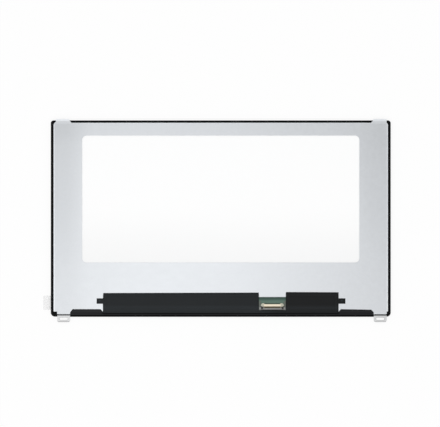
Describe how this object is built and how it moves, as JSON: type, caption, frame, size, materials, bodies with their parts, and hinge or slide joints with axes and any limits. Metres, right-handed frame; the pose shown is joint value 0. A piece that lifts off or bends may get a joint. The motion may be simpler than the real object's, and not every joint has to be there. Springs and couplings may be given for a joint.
{
  "type": "laptop screen panel",
  "caption": "Bare laptop display module, screen down: moulded frame, folded sheet back with a window, top tabs, slotted lower ears and a film-covered circuit board.",
  "frame": {"origin": "centre of the display's front face, on the protective film, level with the middle of the moulded frame", "axes": "+X along the long side, +Y towards the top edge with the tabs, +Z out of the back; the panel lies screen down"},
  "size_m": [0.3232, 0.1887, 0.0041],
  "materials": {
    "frame_plastic": "fine matt moulding",
    "cover_sheet": "smooth satin plated sheet",
    "ear_steel": "satin plated sheet",
    "reflector_white": "smooth white film",
    "clear_film": "thin clear film",
    "polarizer_film": "dark gloss film",
    "cell_glass": "thin polished glass",
    "optical_sheet": "translucent sheet",
    "light_guide": "clear moulded plate",
    "tape_black": "thin black tape",
    "film_black": "thin black film with a soft sheen",
    "board_green": "solder mask over tracks",
    "connector_ivory": "moulded housing",
    "shell_steel": "bright plated strip",
    "contact_gold": "plated contacts",
    "chip_black": "moulded package",
    "capacitor_tan": "small ceramic blocks",
    "flex_brown": "thin amber circuit film",
    "led_ivory": "small moulded diodes",
    "adhesive_white": "double-sided tape"
  },
  "bodies": {
    "root": {"protective_film": "clear_film", "pull_tab": "clear_film", "front_polarizer": "polarizer_film", "color_filter_glass": "cell_glass", "tft_glass": "cell_glass", "rear_polarizer": "polarizer_film", "cell_tape": "tape_black", "upper_prism_sheet": "optical_sheet", "lower_prism_sheet": "optical_sheet", "diffuser_sheet": "optical_sheet", "light_guide_plate": "light_guide", "reflector_sheet": "reflector_white", "led_flex": "flex_brown", "leds": "led_ivory", "mold_frame": "frame_plastic", "back_cover": "cover_sheet", "left_mounting_ear": "ear_steel", "right_mounting_ear": "ear_steel", "board_adhesive": "adhesive_white", "circuit_board": "board_green", "connector_housing": "connector_ivory", "connector_shell": "shell_steel", "connector_contacts": "contact_gold", "timing_controller": "chip_black", "backlight_driver": "chip_black", "backlight_connector": "connector_ivory", "power_inductors": "chip_black", "chip_capacitors": "capacitor_tan", "driver_film_1": "flex_brown", "driver_film_2": "flex_brown", "driver_film_3": "flex_brown", "driver_film_4": "flex_brown", "driver_chips": "chip_black", "board_cover_film": "film_black", "bottom_edge_tape": "tape_black"}
  },
  "joints": []
}
